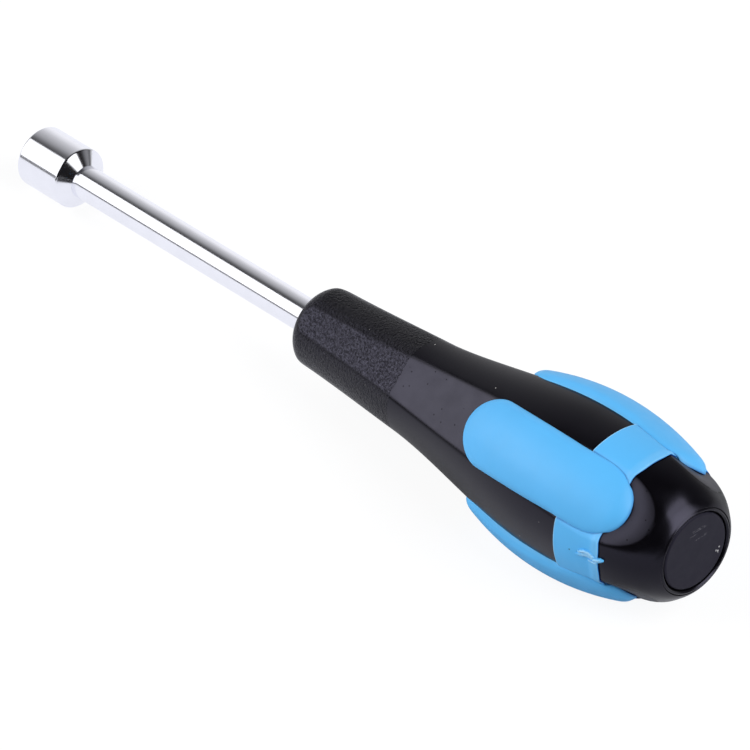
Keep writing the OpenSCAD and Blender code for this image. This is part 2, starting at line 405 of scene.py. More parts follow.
def quads(rows, columns):
    """Faces between closed rows of points."""
    return [(k + i, k + (i + 1) % columns, k + columns + (i + 1) % columns, k + columns + i)
            for k in range(0, (rows - 1) * columns, columns) for i in range(columns)]


def weld(mesh, distance, turn_out=False):
    """Joins points that lie together and, if asked, turns the faces outwards."""
    shell = bmesh.new()
    shell.from_mesh(mesh)
    bmesh.ops.remove_doubles(shell, verts=shell.verts, dist=distance)
    if turn_out:
        bmesh.ops.recalc_face_normals(shell, faces=shell.faces)
    shell.to_mesh(mesh)
    shell.free()


def outward(mesh):
    """Turns a closed mesh's faces outwards and stops if it encloses nothing."""
    shell = bmesh.new()
    shell.from_mesh(mesh)
    volume = shell.calc_volume(signed=True)
    shell.free()
    if abs(volume) < LEAST_VOLUME:
        raise RuntimeError(f"{mesh.name} encloses no volume")
    if volume < 0:
        mesh.flip_normals()


def settle(piece):
    """Puts what a piece's modifiers make in place of its mesh."""
    evaluated = piece.evaluated_get(bpy.context.evaluated_depsgraph_get())
    mesh = bpy.data.meshes.new_from_object(evaluated)
    mesh.name = piece.name
    piece.modifiers.clear()
    piece.data = mesh
    outward(mesh)
    return piece


def bake(piece, tree, inputs):
    """Puts the tree's result in place of the piece's mesh."""
    modifier = piece.modifiers.new(tree.name, "NODES")
    modifier.node_group = tree
    names = {item.name: item.identifier for item in tree.interface.items_tree if item.in_out == "INPUT"}
    for name, value in inputs.items():
        modifier[names[name]] = value
    return settle(piece)


def place(piece, slot, *nodes):
    """Says what a finished piece rides on and stands for, and marks its sharp edges; the slot, what it is made of, is
    not used.
    """
    piece.data.set_sharp_from_angle(angle=SHARP_ANGLE)
    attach(piece, BODY)
    if nodes:
        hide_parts(*nodes)


def new_tree(name, inputs, output):
    """The graph of a new node tree, and its named inputs."""
    tree = bpy.data.node_groups.new(name, "GeometryNodeTree")
    for title, kind in inputs.items():
        tree.interface.new_socket(name=title, in_out="INPUT", socket_type="NodeSocket" + kind)
    tree.interface.new_socket(name=output, in_out="OUTPUT", socket_type="NodeSocketGeometry")
    g = Graph(tree)
    return g, g.outs("NodeGroupInput")


def close_tree(g, form, material):
    """Ends a node tree with plain smooth geometry of one material."""
    form = g.out("GeometryNodeSetShadeSmooth", {"Geometry": form})
    form = g.out("GeometryNodeRealizeInstances", {"Geometry": form})
    g.end("NodeGroupOutput", g.out("GeometryNodeSetMaterial", {"Geometry": form, "Material": material}))
    return g.tree


def loft_tree():
    """Tree that sweeps a line of stations round the tool's axis and cuts four soft-edged flats on it."""
    name = "Lobed loft"
    if name in bpy.data.node_groups:
        return bpy.data.node_groups[name]
    g, given = new_tree(name, {"Stations": "Geometry", "Segments": "Int", "Edge crowding": "Float",
                               "Material": "Material"}, "Form")
    stations, segments, crowding = given["Stations"], given["Segments"], given["Edge crowding"]
    count = g.out("GeometryNodeAttributeDomainSize", {"Geometry": stations}, "Point Count", component="MESH")
    columns = segments + 1
    form = g.out("GeometryNodeMeshGrid", {"Vertices X": count, "Vertices Y": columns})
    index = g.out("GeometryNodeInputIndex")
    row = g.math("FLOOR", (index + 0.5) / columns)
    column = index - row * columns

    def sampled(value, kind):
        return g.out("GeometryNodeSampleIndex", {"Geometry": stations, "Value": value, "Index": row}, data_type=kind)

    along, radius, flat = g.parts(sampled(g.out("GeometryNodeInputPosition"), "FLOAT_VECTOR"))
    soft, mark = (sampled(g.out("GeometryNodeInputNamedAttribute", {"Name": title}, data_type="FLOAT"), "FLOAT")
                  for title in ("soft", "mark"))
    # Columns crowd towards the edges of the flats, so that the edges run along the mesh
    edge_angle = g.math("ARCCOSINE", g.least(flat / radius, 1))
    edge_angle = g.least(g.most(edge_angle, 0.12), 0.66)
    turn = column * 4 / segments
    quarter = g.least(g.math("FLOOR", turn), 3)
    offset = turn - quarter - 0.5
    out = abs(offset) * 4
    on_flat = edge_angle * (1 - (1 - g.least(out, 1)) ** crowding)
    on_strip = (QUARTER / 2 - edge_angle) * g.most(out - 1, 0) ** crowding
    swing = g.math("SIGN", offset) * (on_flat + on_strip)
    angle = (quarter + 0.5) * QUARTER + swing
    cut = flat / g.math("COSINE", swing)
    kept = g.math("SMOOTH_MIN", radius, cut, soft)
    over = radius - cut
    for title, value in (("flat_share", g.step(over, -0.08 * MM, 0.1 * MM)),
                         ("edge_share", g.fall(abs(over + 0.07 * MM), 0.06 * MM, 0.2 * MM)), ("mark", mark)):
        form = g.out("GeometryNodeStoreNamedAttribute", {"Geometry": form, "Name": title, "Value": value},
                     data_type="FLOAT", domain="POINT")
    place_at = g.vector(along, kept * g.math("COSINE", angle), kept * g.math("SINE", angle))
    form = g.out("GeometryNodeSetPosition", {"Geometry": form, "Position": place_at})
    form = g.out("GeometryNodeMergeByDistance", {"Geometry": form, "Distance": WELD})
    return close_tree(g, form, given["Material"])


def loft(name, stations, segments, material, crowding=1.0):
    """Builds a piece from stations: place along the tool, radius, flat's distance, edge softness and, maybe, a mark of
    painted light, a highlight above nought and shade below.
    """
    mesh = new_mesh(name, [row[:3] for row in stations])
    note(mesh, "soft", [row[3] for row in stations])
    note(mesh, "mark", [(*row, 0.0)[4] for row in stations])
    return bake(new_object(name, mesh), loft_tree(),
                {"Segments": segments, "Edge crowding": crowding, "Material": material})


def turned(*points):
    """Stations of a plain turned form."""
    return [(x, r, NO_FLAT, 0.0) for x, r in points]


def rounded_outline(corners, *sizes):
    """An outline with its inner corners rounded, each by its own size or all by the last one."""
    points = [corners[0]]
    sizes += sizes[-1:] * len(corners)
    for a, b, c, size in zip(corners, corners[1:], corners[2:], sizes):
        reach = min(size, 0.45 * math.dist(a, b), 0.45 * math.dist(b, c))
        corner = Vector(b)
        first, last = ((Vector(q) - corner).normalized() * reach for q in (a, c))
        curve = [corner + first * (1 - t) ** 2 + last * t**2 for t in (i / ROUND_STEPS for i in range(ROUND_STEPS + 1))]
        points += [tuple(q) for q in (corner + first * 1.15, *curve, corner + last * 1.15)]
    return points + [corners[-1]]


# Finishes

def fresh_graph(holder):
    """The emptied node tree of a material or world."""
    holder.use_nodes = True
    holder.node_tree.nodes.clear()
    return Graph(holder.node_tree)


def new_finish(name):
    """The graph of a new material."""
    material = bpy.data.materials.new(name)
    g = fresh_graph(material)
    g.material, g.coords = material, g.out("ShaderNodeTexCoord", output="Object")
    return g


def finished(g, values):
    """The material, closed with a shader of these values."""
    g.end("ShaderNodeOutputMaterial", g.out("ShaderNodeBsdfPrincipled", values))
    return g.material


def stretched(g, x, y, z):
    """Object coordinates stretched along the tool's axes."""
    return g.out("ShaderNodeMapping", {"Vector": g.coords, "Scale": (x, y, z)})


def noise(g, scale, detail, rough=0.5, coords=None, distort=0.0):
    return g.out("ShaderNodeTexNoise", {"Vector": coords or g.coords, "Scale": scale, "Detail": detail,
                                        "Roughness": rough, "Distortion": distort}, "Fac")


def cells(g, scale, feature="F1"):
    return g.outs("ShaderNodeTexVoronoi", {"Vector": g.coords, "Scale": scale}, feature=feature)


def blended(g, amount, first, second):
    """A colour between two."""
    first, second = (c if isinstance(c, Value) else (*c, 1.0) for c in (first, second))
    return g.out("ShaderNodeMix", {"Factor": amount, 6: first, 7: second}, 2, data_type="RGBA")


def toned(tint, by):
    """A colour made darker or lighter."""
    return [c * by for c in tint]


def bump(g, height, distance, strength, below=None):
    values = {"Height": height, "Distance": distance, "Strength": strength}
    if below:
        values["Normal"] = below
    return g.out("ShaderNodeBump", values)


def specks(g, scale, keep, size):
    """Sparse small dots: one where a cell is chosen and near its centre."""
    found = cells(g, scale)
    chosen = g.math("LESS_THAN", g.parts(found["Color"])[0], keep)
    return chosen * g.fall(found["Distance"], size * 0.6, size)


def near_spot(g, y, z, reach):
    """One at a spot across the tool, falling to nought at a reach from it; all in millimetres."""
    flat = g.out("ShaderNodeVectorMath", {0: g.coords, 1: (0, 1, 1)}, operation="MULTIPLY")
    away = g.out("ShaderNodeVectorMath", {0: flat, 1: (0, y * MM, z * MM)}, "Value", operation="DISTANCE")
    return g.fall(away, 0.45 * reach * MM, reach * MM)


def plated_steel(scene, name):
    """Bright plating with faint turning marks and haze, duller inside the socket and darkened there with painted shade.
    """
    plating = scene.nut_finish.plating
    g = new_finish(name)
    haze = noise(g, 260, 3)
    turning = noise(g, 1, 2, coords=stretched(g, 9000, 90, 90))
    x, y, z = g.parts(g.coords)
    # Inside the socket the plating is rougher, and its colour darkened as painted shade in the recess
    outside = g.most(g.step(y * y + z * z, (4.6 * MM) ** 2, (4.8 * MM) ** 2), g.step(x, 8 * MM, 9 * MM))
    tint = blended(g, g.step(haze, 0.3, 0.75), plating, toned(plating, 0.965))
    return finished(g, {
        "Base Color": blended(g, outside, toned(plating, 0.3), tint),
        "Metallic": 1.0,
        "Roughness": g.scaled(haze, 0.25, 0.8, 0.1, 0.14) + g.mix(outside, 0.2, 0),
        "Normal": bump(g, turning, 0.0006 * MM, 0.35),
    })


def body_plastic(scene, name):
    """Black moulding: leather grain on the nose, matte flats and glossier strips, with dust and small nicks."""
    black, handle = scene.nut_finish.body, scene.nut_handle
    g = new_finish(name)
    along = g.parts(g.coords)[0]
    flat, edge = g.attribute("flat_share"), g.attribute("edge_share")
    grain_end = handle.reach + handle.grain_len
    ragged = (noise(g, 1500, 2) - 0.5) * (0.5 * MM)
    on_nose = g.fall(along + ragged, grain_end - 0.12 * MM, grain_end + 0.12 * MM)
    pebble = cells(g, 2500, "SMOOTH_F1")["Distance"]
    leather = pebble * -1.25 + noise(g, 3300, 3, 0.6, distort=0.6) * 1.25
    speckle = noise(g, 2600, 2, 0.6)
    grain = g.mix(flat, leather, (speckle - 0.45) * 3 + pebble * -0.4)
    rough = g.mix(on_nose, g.mix(flat, 0.24, 0.46), g.mix(flat, 0.28, 0.5))
    dust = specks(g, 420, 0.25, 0.05) * (1 - flat)
    nicks = specks(g, 900, 0.35, 0.16) * flat
    # The gloss falls at the nicks, and along the edges of the flats to a fine dark line of painted shade
    dull = (1 - nicks * 0.75) * (1 - edge * g.mix(on_nose, 0.55, 0.3))
    shine = g.mix(on_nose * flat, 1, g.scaled(speckle, 0.36, 0.64, 0.7, 2.6))
    # Painted shade: the strips' gloss is lower on the side that faces up and back
    _, side, top = g.parts(g.out("ShaderNodeNewGeometry", output="Normal"))
    painted_shade_side = g.step(side * 0.75 + top * 0.66, 0.15, 1.1)
    # Painted shade and light: the butt's strips are less glossy below, and the flats behind the pads glossier
    ring_end = handle.reach + handle.handle_len - scene.nut_grip.ring_back
    behind = g.step(along, ring_end - 1 * MM, ring_end + 1 * MM)
    low = behind * g.fall(top, 0.05, 0.35)
    strip_gloss = g.mix(on_nose, 0.27, 0.2) * g.mix(painted_shade_side, 1, 0.1) * g.mix(low, 1, 0.74)
    gloss = g.mix(flat, strip_gloss, g.mix(behind, 0.345, 0.41))
    tint = blended(g, flat, black, toned(black, 1.5))
    tint = blended(g, g.step(noise(g, 160, 4), 0.35, 0.7) * 0.35, tint, toned(black, 1.3))
    tint = blended(g, nicks * 0.7, tint, toned(black, 0.3))
    satin = bump(g, noise(g, 5200, 3), 0.004 * MM, 0.5)
    pits = bump(g, nicks, 0.05 * MM, -0.8, satin)
    return finished(g, {
        "Base Color": blended(g, dust, tint, (0.45, 0.44, 0.42)),
        "Roughness": rough + g.scaled(noise(g, 380, 3), 0.3, 0.7, -0.03, 0.03),
        "Specular IOR Level": gloss * shine * dull,
        "Specular Tint": COOL_SHEEN,
        "Normal": bump(g, grain * on_nose, 0.17 * MM, 0.9, pits),
    })


def grip_rubber(scene, name):
    """Blue soft-touch moulding: faint mottle, fine satin, dark specks, pale flash with a painted highlight on moulded
    edges, and painted shade in the undercuts and along the pads' creases.
    """
    p = scene.nut_finish
    g = new_finish(name)
    mottle = noise(g, 130, 4)
    tint = blended(g, g.step(mottle, 0.35, 0.7) * 0.5, p.grip, toned(p.grip, 0.93))
    # Painted shade: a fine dark crease line where the ring meets the pads
    tint = blended(g, g.step(g.attribute("by_pad"), 0.5, 0.95) * 0.8, tint, p.painted_crease_shade)
    # The mark attribute paints pale flash with a painted highlight where above nought, and painted shade in the
    # undercuts where below nought
    mark = g.attribute("mark")
    worn = g.scaled(noise(g, 500, 2), 0.3, 0.7, 0.6, 1)
    tint = blended(g, g.most(mark, 0) * worn, tint, p.flash_and_highlight)
    tint = blended(g, g.most(mark * -1, 0), tint, p.painted_undercut_shade)
    satin = bump(g, noise(g, 4200, 3), 0.005 * MM, 0.5)
    return finished(g, {
        "Base Color": blended(g, specks(g, 170, 0.3, 0.032) * 0.85, tint, (0.02, 0.05, 0.12)),
        "Roughness": g.scaled(noise(g, 900, 3), 0.3, 0.7, 0.46, 0.56),
        "Specular IOR Level": 0.32,
        "Normal": bump(g, mottle, 0.05 * MM, 0.35, satin),
    })


def cap_plastic(scene, name):
    """Satin dark plastic with rubbed scratches and a few bright specks."""
    dark = scene.nut_finish.cap
    g = new_finish(name)
    streaks = noise(g, 1, 2, coords=stretched(g, 900, 260, 2600))
    scratch = g.step(streaks, 0.55, 0.62) * near_spot(g, 0.8, 3.2, 2.3) * g.step(noise(g, 2300, 2), 0.4, 0.6)
    # Bright specks, a cluster near one spot and a few scattered
    bright_specks = specks(g, 2100, 0.55, 0.42) * near_spot(g, 5, -2.3, 0.75)
    bright_specks = g.most(bright_specks, specks(g, 700, 0.05, 0.09))
    tint = blended(g, noise(g, 500, 3) * 0.5, dark, toned(dark, 1.35))
    tint = blended(g, scratch * 0.55, tint, (0.16, 0.16, 0.18))
    return finished(g, {
        "Base Color": blended(g, bright_specks, tint, (0.55, 0.55, 0.56)),
        "Roughness": g.scaled(noise(g, 700, 3), 0.3, 0.7, 0.38, 0.5),
        "Specular IOR Level": 0.12,
        "Specular Tint": COOL_SHEEN,
        "Normal": bump(g, noise(g, 3800, 3) + scratch, 0.006 * MM, 0.6),
    })


def core_plastic(scene, name):
    """Plain moulding of the hidden core, with flow marks."""
    tint = scene.nut_finish.core
    g = new_finish(name)
    flow = noise(g, 220, 3, coords=stretched(g, 0.3, 1, 1))
    return finished(g, {
        "Base Color": blended(g, flow, tint, toned(tint, 0.7)),
        "Roughness": g.scaled(flow, 0.2, 0.8, 0.4, 0.6),
        "Normal": bump(g, flow, 0.01 * MM, 0.5),
    })


# Operators

class NUT_OT_head(bpy.types.Operator):
    """Build the socket head with its hexagon"""

    bl_idname = "nut.head"
    bl_label = "Socket head"
    columns = 192
    lead_steps = 9

    def execute(self, context):
        p = context.scene.nut_steel
        half = p.hex_across_flats / 2
        corner = half / math.cos(math.radians(30))
        outer, back = p.head_d / 2, p.head_len + p.cone_len
        throat = half - p.lead_in / 2
        relief, floor_at = p.relief_d / 2, p.hex_depth + p.relief_depth
        bore, bore_at = p.spigot_d / 2, floor_at + p.web
        turn = np.arange(self.columns) * 2 * math.pi / self.columns
        side = np.mod(turn + math.pi / 6, math.pi / 3) - math.pi / 6
        hexagon = half / np.cos(side)
        circle = np.ones(self.columns)
        rows = [(floor_at, 0 * circle), (floor_at, relief * circle), (p.hex_depth, relief * circle),
                (p.hex_depth, hexagon)]
        rows += [(p.hex_depth * s + p.lead_in * (1 - s), hexagon) for s in (0.66, 0.33, 0)]
        for i in reversed(range(self.lead_steps)):
            t = i / self.lead_steps
            rows.append((p.lead_in * t, np.maximum(hexagon, (corner + (throat - corner) * t) * circle)))
        outline = rounded_outline([
            (0, corner), (0, outer - p.mouth_edge), (p.mouth_edge, outer), (p.head_len, outer),
            (back, p.shaft_d / 2)], p.edge_round, p.mouth_round, p.mouth_round, p.edge_round)
        rows += [(x, r * circle) for x, r in outline[1:]]
        rows += [(back, bore * circle), (bore_at, bore * circle), (bore_at, 0 * circle)]
        verts = [(x, r * math.cos(a), r * math.sin(a)) for x, ring in rows for r, a in zip(ring, turn)]
        mesh = new_mesh("socket_head_steel", verts, quads(len(rows), self.columns))
        weld(mesh, WELD)
        mesh.shade_smooth()
        outward(mesh)
        mesh.materials.append(plated_steel(context.scene, "head plating"))
        place(new_object(mesh.name, mesh), "head_steel", "socket_head")
        return {"FINISHED"}


class NUT_OT_shaft(bpy.types.Operator):
    """Build the shaft with its spigot and its two wings"""

    bl_idname = "nut.shaft"
    bl_label = "Shaft"
    steps = 24
    tail_points = ROUND_STEPS + 4  # the last rounding and the end of the outline
    wing_edge = 0.25 * MM

    def execute(self, context):
        p, handle = context.scene.nut_steel, context.scene.nut_handle
        start = p.hex_depth + p.relief_depth + p.web + GAP
        shoulder = p.head_len + p.cone_len
        end = handle.reach + p.tail_len
        r, spigot = p.shaft_d / 2, p.spigot_d / 2
        outline = rounded_outline([(start, 0), (start, spigot), (shoulder, spigot), (shoulder, r), (end, r), (end, 0)],
                                  p.edge_round)
        long = [(shoulder + (end - shoulder) * i / self.steps, r) for i in range(1, self.steps)]
        outline[-self.tail_points:-self.tail_points] = long
        rod = loft("shaft_rod", turned(*outline), ROUND_SEGMENTS, plated_steel(context.scene, "shaft plating"))
        shell = bmesh.new()
        shell.from_mesh(rod.data)
        middle = Vector((end - p.wing_inset - p.wing_len / 2, 0, 0))
        size = Matrix.Diagonal((p.wing_len, p.wing_thick, p.wing_span, 1))
        wing = bmesh.ops.create_cube(shell, size=1.0, matrix=Matrix.Translation(middle) @ size)
        edges = {e for v in wing["verts"] for e in v.link_edges}
        bmesh.ops.bevel(shell, geom=list(edges), offset=self.wing_edge, segments=2, affect="EDGES")
        shell.to_mesh(rod.data)
        shell.free()
        place(rod, "shaft_steel", "shaft")
        return {"FINISHED"}


class NUT_OT_core(bpy.types.Operator):
    """Finish the hidden core"""

    bl_idname = "nut.core"
    bl_label = "Handle core"

    def execute(self, context):
        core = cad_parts["handle_core"]
        core.data.materials.clear()
        core.data.materials.append(core_plastic(context.scene, "core moulding"))
        return {"FINISHED"}


class NUT_OT_body(bpy.types.Operator):
    """Build the black handle body"""

    bl_idname = "nut.body"
    bl_label = "Handle body"
    segments = 224
    nose_steps, side_steps, butt_steps = 14, 196, 8
    hole_gap, hole_depth = 0.03 * MM, 2 * MM
    butt_len = 1.6 * MM
    nose_soft = 0.5 * MM
    # The butt's bend and rim, and the low bead round the end cap: drop below the end face and radius, in millimetres
    bend, rim = (0.6, 8.56), (0.2, 7.86)
    bead = ((0.21, 7.82), (0.26, 7.78), (0.3, 7.74), (0.27, 7.7), (0.19, 7.64), (0.11, 7.56), (0.06, 7.46),
            (0.03, 7.38), (0.04, 7.33), (0.08, 7.27), (0.17, 7.18), (0.27, 7.09), (0.36, 7.06), (0.6, 7.05))

    def execute(self, context):
        p, steel = context.scene.nut_handle, context.scene.nut_steel
        hole = steel.shaft_d / 2 + self.hole_gap
        front = round_radius(p, p.nose_round) - p.nose_round
        rows = [(self.hole_depth, 0.0), (self.hole_depth, hole), (0.12 * MM, hole), (0.02 * MM, hole + 0.1 * MM),
                (0.0, hole + 0.2 * MM)]
        for i in range(self.nose_steps):
            a = QUARTER * i / self.nose_steps
            rows.append((p.nose_round * (1 - math.cos(a)), front + p.nose_round * math.sin(a)))
        shoulder, end = p.handle_len - self.butt_len, p.handle_len
        for i in range(self.side_steps + 1):
            h = p.nose_round + (shoulder - p.nose_round) * i / self.side_steps
            rows.append((h, round_radius(p, h)))
        # The butt turns down to a fine groove, a low bead and the gap round the sunken end cap
        curve = [rows[-1]] + [(end - drop * MM, r * MM) for drop, r in (self.bend, self.rim)]
        for i in range(1, self.butt_steps + 1):
            t = i / self.butt_steps
            rows.append(tuple((1 - t) ** 2 * a + 2 * t * (1 - t) * b + t * t * c for a, b, c in zip(*curve)))
        rows += [(end - drop * MM, r * MM) for drop, r in self.bead]
        rows += [(end - p.cap_thick, rows[-1][1]), (end - p.cap_thick, 0.0)]
        heel_at = p.handle_len - p.heel_back
        stations = []
        for h, r in rows:
            soft = p.flat_edge + (p.heel_edge - p.flat_edge) * smooth_step(h, heel_at - 1 * MM, heel_at + 4 * MM)
            soft += self.nose_soft * (1 - smooth_step(h, 0, p.grain_len))
            lobed = p.nose_round * 0.2 < h < end - 0.5 * MM and r > 7 * MM
            stations.append((p.reach + h, r, flat_distance(p, h) if lobed else NO_FLAT, soft if lobed else 0.0))
        material = body_plastic(context.scene, "body moulding")
        body = loft("handle_body_shell", stations, self.segments, material, crowding=1.5)
        place(body, "body_plastic", "handle_body")
        return {"FINISHED"}


class NUT_OT_ring(bpy.types.Operator):
    """Build the grip's ring with its rear lip and the mark that its moulding gate left"""

    bl_idname = "nut.ring"
    bl_label = "Grip ring"
    segments, steps = 720, 28
    crease_w, lip_w = 0.6 * MM, 2.1 * MM
    lip_wear = 0.75
    flat_soft = 0.3 * MM
    mark_grain = 0.06 * MM
    # Profiles of the edges: millimetres in from the edge, share of the height and the painted light there, a painted
    # highlight above nought and painted shade below
    front_edge = ((0.02, 0.0, 0), (0.0, 0.5, 0.1), (0.02, 0.85, 0.5), (0.07, 1.1, 0.6), (0.15, 1.13, 0.4),
                  (0.26, 1.03, 0), (0.4, 1.0, 0))
    rear_lip = ((1.8, 0.12, 0), (1.5, 0.45, 0.04), (1.2, 0.8, 0.08), (0.9, 0.96, 0.1), (0.55, 1.0, 0.1),
                (0.3, 1.0, 0.16), (0.16, 0.97, 0.3), (0.07, 0.84, 0.2), (0.02, 0.6, -0.2), (0.0, 0.3, -0.8))
    rear_foot = ((0.02, 0.9, -1), (0.08, 0.35, -1), (0.16, 0.0, -1))
    # Lumps of the gate mark: millimetres behind the rear edge, turn in degrees, half length, half width and height
    lumps = ((-3.9, 178.4, 0.6, 0.24, 0.2), (-3.3, 177.0, 0.7, 0.36, 0.32), (-2.7, 175.6, 0.7, 0.48, 0.4),
             (-2.1, 174.9, 0.7, 0.52, 0.42), (-1.5, 175.2, 0.6, 0.44, 0.42), (-1.0, 176.0, 0.5, 0.38, 0.44),
             (-0.5, 176.7, 0.45, 0.38, 0.48), (-0.1, 176.6, 0.42, 0.44, 0.5), (0.3, 176.2, 0.36, 0.44, 0.46),
             (0.6, 175.9, 0.3, 0.34, 0.36), (0.84, 175.7, 0.2, 0.22, 0.24),
             (-3.3, 174.6, 0.55, 0.2, 0.5), (-2.8, 173.4, 0.6, 0.2, 0.6), (-2.3, 172.7, 0.6, 0.2, 0.64),
             (-1.8, 172.7, 0.6, 0.2, 0.62), (-1.3, 173.4, 0.55, 0.2, 0.56), (-0.9, 174.4, 0.5, 0.2, 0.52),
             (-1.3, 178.3, 0.5, 0.17, 0.5), (-0.8, 178.6, 0.5, 0.18, 0.56), (-0.3, 178.8, 0.4, 0.16, 0.58))

    def execute(self, context):
        p, handle = context.scene.nut_grip, context.scene.nut_handle
        end = handle.handle_len - p.ring_back
        start = end - p.ring_w
        low = -p.ring_depth
        rise, lip = p.ring_proud, p.ring_lip - p.ring_proud
        outline = [(start + inset * MM, up * rise, mark) for inset, up, mark in self.front_edge]
        first, last = outline[-1][0], end - self.lip_w
        outline += [(first + (last - first) * i / self.steps, rise, 0) for i in range(1, self.steps + 1)]
        outline += [(end - inset * MM, rise + up * lip, mark) for inset, up, mark in self.rear_lip]
        outline += [(end - inset * MM, up * rise, mark) for inset, up, mark in self.rear_foot]
        outline = [(start + 0.02 * MM, low, 0), *outline, (end - 0.2 * MM, low, -1), (start + 0.02 * MM, low, 0)]
        stations = [(handle.reach + h, round_radius(handle, h) + grow, flat_distance(handle, h) + grow,
                     self.flat_soft, mark) for h, grow, mark in outline]
        material = grip_rubber(context.scene, "grip moulding")
        ring = loft("grip_ring", stations, self.segments, material)
        self.fit_pads(ring, p, handle)
        place(ring, "grip_rubber", "grip_overmould")
        self.gate_mark(p, handle, material)
        return {"FINISHED"}

    def fit_pads(self, ring, p, handle):
        """Turns the ring's rear edge forward beside the pads and notes how near each pad is, for the painted crease
        shade.
        """
        edge = handle.reach + handle.handle_len - p.ring_back
        middle = edge + p.ring_back - p.pad_back - p.pad_len / 2
        step, least_slope = 0.02 * MM, 0.2
        by_pad = []
        for vert in ring.data.vertices:
            x, y, z = vert.co
            height, across = (abs(y) + abs(z)) / math.sqrt(2), abs(abs(y) - abs(z)) / math.sqrt(2)
            a = x - middle
            slopes = [(pad_height(p, a + da, across + db) - pad_height(p, a - da, across - db)) / (2 * step)
                      for da, db in ((step, 0), (0, step))]
            away = (height - pad_height(p, a, across)) / math.hypot(*slopes, least_slope)
            by_pad.append(min(max(1 - away / self.crease_w, 0), 1))
            near_edge = smooth_step(x, edge - 1.2 * MM, edge - 0.1 * MM)
            vert.co.x -= near_edge * (1 - smooth_step(across, 5 * MM, 8 * MM)) * p.edge_ease
            # On the far side's and the underside's strips the lip is worn down
            worn = smooth_step(max(y - abs(z), -z - abs(y)), 2 * MM, 7 * MM)
            worn *= smooth_step(x, edge - 4 * MM, edge - 0.5 * MM)
            r = math.hypot(y, z)
            proud = max(r - round_radius(handle, x - handle.reach), 0)
            vert.co.yz = Vector((y, z)) * (1 - self.lip_wear * worn * proud / r)
        note(ring.data, "by_pad", by_pad)

    def gate_mark(self, p, handle, material):
        """A rubbed crescent and a torn tip on the side strip, where the moulding was cut off."""
        end = handle.handle_len - p.ring_back
        shell = bmesh.new()
        for back, turn, long, wide, rise in self.lumps:
            h = end + back * MM
            a = math.radians(turn)
            r = round_radius(handle, h) + p.ring_proud
            lump = Matrix.Translation((handle.reach + h, r * math.cos(a), r * math.sin(a))) @ Matrix.Rotation(a, 4, "X")
            lump = lump @ Matrix.Diagonal((long * MM, rise * MM, wide * MM, 1))
            bmesh.ops.create_icosphere(shell, subdivisions=3, radius=1.0, matrix=lump)
        mesh = bpy.data.meshes.new("grip_gate_mark")
        shell.to_mesh(mesh)
        shell.free()
        mark = new_object(mesh.name, mesh)
        remesh = mark.modifiers.new("Fuse", "REMESH")
        remesh.mode = "VOXEL"
        remesh.voxel_size = self.mark_grain
        remesh.use_smooth_shade = True
        mesh = settle(mark).data
        height = [math.hypot(v.co.y, v.co.z) - round_radius(handle, v.co.x - handle.reach) for v in mesh.vertices]
        # Pale flash with a painted highlight on the mark's higher ridges
        pale = [0.6 * smooth_step(up, p.ring_proud + 0.15 * MM, p.ring_proud + 0.55 * MM) for up in height]
        note(mesh, "mark", pale)
        mesh.materials.append(material)
        place(mark, "grip_rubber")


